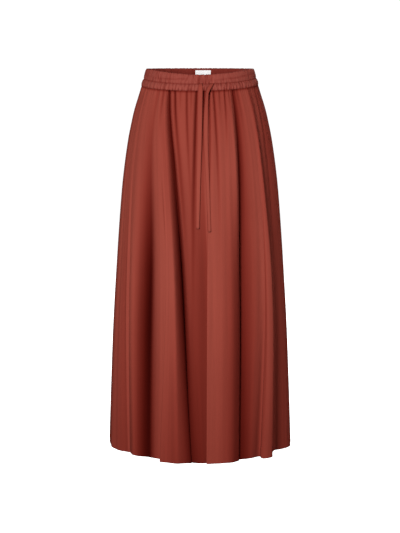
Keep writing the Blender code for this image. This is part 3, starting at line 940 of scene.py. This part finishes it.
def column_of(degrees, height):
    """The hem angle of the front column that lies at this angle and height."""
    columns = np.linspace(-90, 90, COLUMN_STEPS)
    return float(np.interp(degrees, angle_at(FRONT_GUIDES, columns, height), columns))


def front_face(across, height):
    """The foremost cloth behind a tie."""
    degrees = math.degrees(math.asin(across / float(section_size("half_width", height))))
    if height > float(band_height(BAND_SEAM, degrees)):
        outer = band_points(np.array([degrees]))[0][:OUTER_ROWS, 0]
        return float(np.interp(-height, -outer[:, 2], outer[:, 1]))
    spread = column_of(degrees, height) + np.linspace(-LOOK_ASIDE, LOOK_ASIDE, LOOK_STEPS)
    points = cloth_points(FRONT_GUIDES, FRONT_GATHERS, spread, np.full(LOOK_STEPS, height))
    near = np.abs(points[:, 0] - across) < LOOK_NEAR
    return float(points[near, 1].min())


print("cloth at the middle, 0.1 m down:", round(front_face(0.0, -0.1), 4))

# %% Ties
TIE_THICKNESS = 0.0016
TIE_CROWN = 0.0003
TIE_CLEARANCE = 0.0006
TIE_ROWS, TIE_ROW_CROWDING = 90, 1.3
TIE_COLUMNS = 7
# The flat half width that the weave is laid out for.
TIE_FLAT_HALF = 0.0046
SETTLING_PASSES = 60
TIE_SHADE, TIE_SHADE_REACH, TIE_EDGE_SHADE = 0.16, 0.12, 0.20


def read_route(route, column, height):
    heights = [point.height for point in route]
    return read_table(heights, [getattr(point, column) for point in route], height)


def tie_line(route):
    """The tie's middle line: it bridges the hollows behind it."""
    top, bottom = route[0].height, route[-1].height
    height = top + np.linspace(0, 1, TIE_ROWS) ** TIE_ROW_CROWDING * (bottom - top)
    across = read_route(route, "across", height)
    face = [front_face(x, z) for x, z in zip(across, height)]
    depth = np.array(face) - read_route(route, "lift", height) - TIE_THICKNESS / 2 - TIE_CLEARANCE
    for _ in range(SETTLING_PASSES):
        depth[1:-1] = np.minimum(depth[1:-1], (depth[:-2] + depth[2:]) / 2)
    return np.stack([across, depth, height], -1)


def add_tie(name, route):
    line = tie_line(route)
    twist = np.radians(read_route(route, "twist", line[:, 2]))
    half = read_route(route, "half_width", line[:, 2])
    side = np.stack([np.cos(twist), np.sin(twist), 0 * twist], -1)
    places = np.linspace(-1, 1, TIE_COLUMNS)
    points = line[:, None] + side[:, None] * (places[None, :] * half[:, None])[..., None]
    points[..., 1] -= (1 - places**2) * TIE_CROWN
    length = lengths_across(line[None])
    uv = np.stack(np.meshgrid((places + 1) * TIE_FLAT_HALF, length), -1)
    shade = TIE_SHADE * np.exp(-length / TIE_SHADE_REACH)[:, None] + TIE_EDGE_SHADE * np.abs(places) ** 4
    piece = new_object(name + "_end", sheet_mesh(name, points, uv, shade))
    thicken(piece, TIE_THICKNESS)
    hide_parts(name)
    print(name, "hangs", round(float(length[-1]), 3), "m")
    return piece


ties = [add_tie(name, route) for name, route in TIE_ROUTES.items()]

# %% [markdown]
# ## The label
#
# A small white woven label is sewn inside the back band, and left bare.

# %% Label
LABEL_WIDTH = 0.037
LABEL_HEIGHT = 0.026
LABEL_CENTRE = 0.0075
LABEL_BELOW_TOP = 0.0048
LABEL_COLUMNS, LABEL_ROWS = 25, 18
LABEL_THICKNESS = 0.0006
# How far inside the band's middle it lies, and how deep and how close its ripples are.
LABEL_INSET, LABEL_RIPPLE, LABEL_RIPPLE_TURNS = 0.0034, 0.0003, 420


def label_points():
    across = LABEL_CENTRE + np.linspace(-0.5, 0.5, LABEL_COLUMNS) * LABEL_WIDTH
    height = BAND_TOP.height - LABEL_BELOW_TOP - np.linspace(0, 1, LABEL_ROWS) * LABEL_HEIGHT
    across, height = np.meshgrid(across, height)
    degrees = 180 - np.degrees(np.arcsin(across / section_size("half_width", height)))
    point, away = base_point(degrees, height)
    loose = np.linspace(0, 1, LABEL_ROWS)[:, None]
    ripple = LABEL_RIPPLE * np.sin(across * LABEL_RIPPLE_TURNS) * loose
    return point - away * (LABEL_INSET - ripple)[..., None], np.stack([across, height], -1)


points, uv = label_points()
label_piece = new_object("label_piece", sheet_mesh("label_piece", points, uv))
thicken(label_piece, LABEL_THICKNESS)
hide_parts("label")
print("label:", LABEL_WIDTH, "x", LABEL_HEIGHT, "m")

# %% [markdown]
# ## Shader maths as Python
#
# A node tree reads better as arithmetic. `Value` wraps a socket, and each operator adds the Math
# node that does the sum.

# %% Shader helper


class Value:
    """A shader socket that can be added, multiplied and so on."""

    def __init__(self, tree, socket):
        self.tree, self.socket = tree, socket

    def maths(self, operation, *others):
        inputs = dict(enumerate((self, *others)))
        return node(self.tree, "ShaderNodeMath", {"operation": operation}, inputs)

    def __add__(self, other):
        return self.maths("ADD", other)

    def __sub__(self, other):
        return self.maths("SUBTRACT", other)

    def __mul__(self, other):
        return self.maths("MULTIPLY", other)

    def __rsub__(self, other):
        return (self * -1) + other

    __radd__ = __add__
    __rmul__ = __mul__


def node(tree, kind, settings=None, inputs=None, output=0):
    """A node with its settings made first, then its sockets given values or links."""
    made = tree.nodes.new(kind)
    for name, value in (settings or {}).items():
        setattr(made, name, value)
    for key, value in (inputs or {}).items():
        if isinstance(value, Value):
            tree.links.new(value.socket, made.inputs[key])
        else:
            made.inputs[key].default_value = value
    return Value(tree, made.outputs[output])


def mix_colour(tree, share, first, second, blend="MIX"):
    """A Mix node on colours: its inputs 6 and 7 and its output 2 are the colour ones."""
    made = tree.nodes.new("ShaderNodeMix")
    made.data_type, made.blend_type = "RGBA", blend
    for socket, value in ((made.inputs[0], share), (made.inputs[6], first), (made.inputs[7], second)):
        if isinstance(value, Value):
            tree.links.new(value.socket, socket)
        else:
            socket.default_value = value
    return Value(tree, made.outputs[2])


# %% [markdown]
# ## Crepe
#
# Crepe is woven from tightly twisted yarn, so it is matt and faintly grainy, and its colour
# shifts a little from thread to thread. The bump adds the weave at thread scale, read from the
# UV map, and a pebbled grain above it.

# %% Cloth material
THREAD_PITCH = 0.0007
PEBBLE = {"Scale": 900.0, "Detail": 2.0}
SLUB = {"Scale": 14.0, "Detail": 4.0}
# Streaks are narrow across the cloth and long down it.
STREAK = {"Scale": 1.0, "Detail": 3.0}
STREAK_SCALE = (110.0, 2.5, 1.0)
# How much each pattern shifts the colour between the darker and the lighter thread.
Tint = namedtuple("Tint", "slub streak pebble weave centre")
TINT = Tint(0.4, 2.0, 0.2, 0.06, 0.80)
DARK_THREAD, LIGHT_THREAD = 0.90, 1.08
# Painted shade: where the shade attribute is high, the colour is made darker and redder, as
# light that has bounced from red cloth to red cloth is redder as well as dimmer.
PAINTED_SHADE_TONE = (0.12, 0.12, 0.12, 1.0)
PAINTED_SHADE_HUE = (1.0, 0.24, 0.18, 1.0)
BUMP = {"Strength": 0.35, "Distance": 0.0004}
CLOTH_ROUGHNESS, CLOTH_SHINE = 0.88, 0.03


def cloth_material(name, colour, thread=THREAD_PITCH, weave=0.35, grain=0.5, crinkle=2.5):
    material = bpy.data.materials.new(name)
    material.use_nodes = True
    tree = material.node_tree
    shader = tree.nodes["Principled BSDF"]
    cloth = node(tree, "ShaderNodeUVMap", {"uv_map": "cloth"})
    place = node(tree, "ShaderNodeTexCoord", output="Object")
    split = tree.nodes.new("ShaderNodeSeparateXYZ")
    tree.links.new(cloth.socket, split.inputs[0])
    turns = 2 * math.pi / thread
    warp = (Value(tree, split.outputs[0]) * turns).maths("SINE")
    weft = (Value(tree, split.outputs[1]) * turns).maths("SINE")
    woven = warp * weft
    noise = {"noise_dimensions": "3D"}
    pebble = node(tree, "ShaderNodeTexNoise", noise, {"Vector": place, **PEBBLE})
    slub = node(tree, "ShaderNodeTexNoise", noise, {"Vector": place, **SLUB})
    along = node(tree, "ShaderNodeVectorMath", {"operation": "MULTIPLY"}, {0: cloth, 1: STREAK_SCALE})
    streak = node(tree, "ShaderNodeTexNoise", noise, {"Vector": along, **STREAK})
    dark = [channel * DARK_THREAD for channel in colour] + [1.0]
    light = [min(channel * LIGHT_THREAD, 1.0) for channel in colour] + [1.0]
    lightness = slub * TINT.slub + streak * TINT.streak + pebble * TINT.pebble + woven * TINT.weave
    # The shade attribute paints shade into the colour: darker and redder in folds and grooves.
    painted_shade = node(tree, "ShaderNodeAttribute", {"attribute_name": "shade"}, output="Fac")
    tint = mix_colour(tree, lightness - TINT.centre, dark, light)
    tint = mix_colour(tree, painted_shade, tint, PAINTED_SHADE_TONE, "MULTIPLY")
    tint = mix_colour(tree, painted_shade, tint, PAINTED_SHADE_HUE, "MULTIPLY")
    tree.links.new(tint.socket, shader.inputs["Base Color"])
    height = woven * weave + pebble * grain + streak * crinkle
    bumped = node(tree, "ShaderNodeBump", inputs={"Height": height, **BUMP})
    tree.links.new(bumped.socket, shader.inputs["Normal"])
    shader.inputs["Roughness"].default_value = CLOTH_ROUGHNESS
    shader.inputs["Specular IOR Level"].default_value = CLOTH_SHINE
    return material


# %% Colours of the pieces
SKIRT_COLOUR = (0.338, 0.068, 0.0465)
BAND_COLOUR = (0.310, 0.069, 0.051)
LABEL_COLOUR = (0.97, 0.96, 0.95)
skirt_cloth = cloth_material("skirt_crepe", SKIRT_COLOUR)
band_cloth = cloth_material("band_crepe", BAND_COLOUR)
LABEL_WEAVE = {"thread": 0.0005, "weave": 0.5, "grain": 0.1, "crinkle": 0.0}
label_cloth = cloth_material("label_weave", LABEL_COLOUR, **LABEL_WEAVE)
for material, pieces in (
    (skirt_cloth, (front_skirt, back_skirt, *ties)),
    (band_cloth, (band_front, band_back)),
    (label_cloth, (label_piece,)),
):
    for piece in pieces:
        piece.data.materials.append(material)
print("materials:", [material.name for material in bpy.data.materials])

# %% [markdown]
# ## What the cloth was cut to
#
# The panels are cut wide at the hem and narrower at the waist, and gathered. The band's halves
# are straight strips.

# %% [markdown]
# ## Studio
#
# A clothing photographer lights a dark cloth against white paper. One soft key light stands in
# front, a little to the left and above. A broader and weaker one fills in from the right, so
# that each fold still draws itself, and a third one lights the back. The paper glows by itself:
# the dome and the floor show white to the camera, but their light doesn't reach the cloth, or it
# would wash the folds out.

# %% Floor and paper
FLOOR_HEIGHT = -1.12
FLOOR_SIZE = 10.0
DOME_RADIUS = 14.0
PAPER_TONE = (0.9, 0.9, 0.9, 1.0)
PAPER_GLOW = (1.0, 1.0, 1.0, 1.0)


def paper(name):
    """White paper: partly lit by the lights, and partly glowing by itself."""
    material = bpy.data.materials.new(name)
    material.use_nodes = True
    shader = material.node_tree.nodes["Principled BSDF"]
    shader.inputs["Base Color"].default_value = PAPER_TONE
    shader.inputs["Roughness"].default_value = 1.0
    shader.inputs["Specular IOR Level"].default_value = 0.0
    shader.inputs["Emission Color"].default_value = PAPER_GLOW
    shader.inputs["Emission Strength"].default_value = 1.0
    return material


def add_stage(name, made, material):
    mesh = bpy.data.meshes.new(name)
    made.to_mesh(mesh)
    made.free()
    mesh.shade_smooth()
    mesh.materials.append(material)
    stage = bpy.data.objects.new(name, mesh)
    scene.collection.objects.link(stage)
    stage.visible_diffuse = False
    stage.visible_glossy = False
    return stage


made = bmesh.new()
bmesh.ops.create_grid(made, x_segments=1, y_segments=1, size=FLOOR_SIZE)
bmesh.ops.translate(made, verts=made.verts, vec=(0, 0, FLOOR_HEIGHT))
add_stage("floor", made, paper("floor_paper"))
made = bmesh.new()
bmesh.ops.create_icosphere(made, subdivisions=4, radius=DOME_RADIUS)
bmesh.ops.reverse_faces(made, faces=made.faces)
dome = add_stage("backdrop", made, paper("backdrop_paper"))
dome.visible_shadow = False
print("paper:", dome.name, "and floor")

# %% Lights
Lamp = namedtuple("Lamp", "name place aim size watts")
LAMPS = (
    Lamp("key", (-0.85, -2.7, 0.45), (0, 0, -0.38), 0.9, 90),
    Lamp("fill", (3.6, -1.0, 0.4), (0, 0, -0.45), 2.0, 52),
    Lamp("back_key", (1.1, 3.4, 1.5), (0, 0, -0.35), 1.2, 150),
)
ROOM_LIGHT = 0.03

for lamp in LAMPS:
    data = bpy.data.lights.new(lamp.name, "AREA")
    data.size, data.energy = lamp.size, lamp.watts
    light = bpy.data.objects.new(lamp.name, data)
    light.location = lamp.place
    light.rotation_euler = (Vector(lamp.aim) - Vector(lamp.place)).to_track_quat("-Z", "Y").to_euler()
    scene.collection.objects.link(light)

world = bpy.data.worlds.new("studio")
scene.world = world
world.use_nodes = True
background = world.node_tree.nodes["Background"]
background.inputs["Color"].default_value = (1, 1, 1, 1)
background.inputs["Strength"].default_value = ROOM_LIGHT
scene.view_settings.view_transform = "Standard"
print("lights:", [lamp.name for lamp in LAMPS])
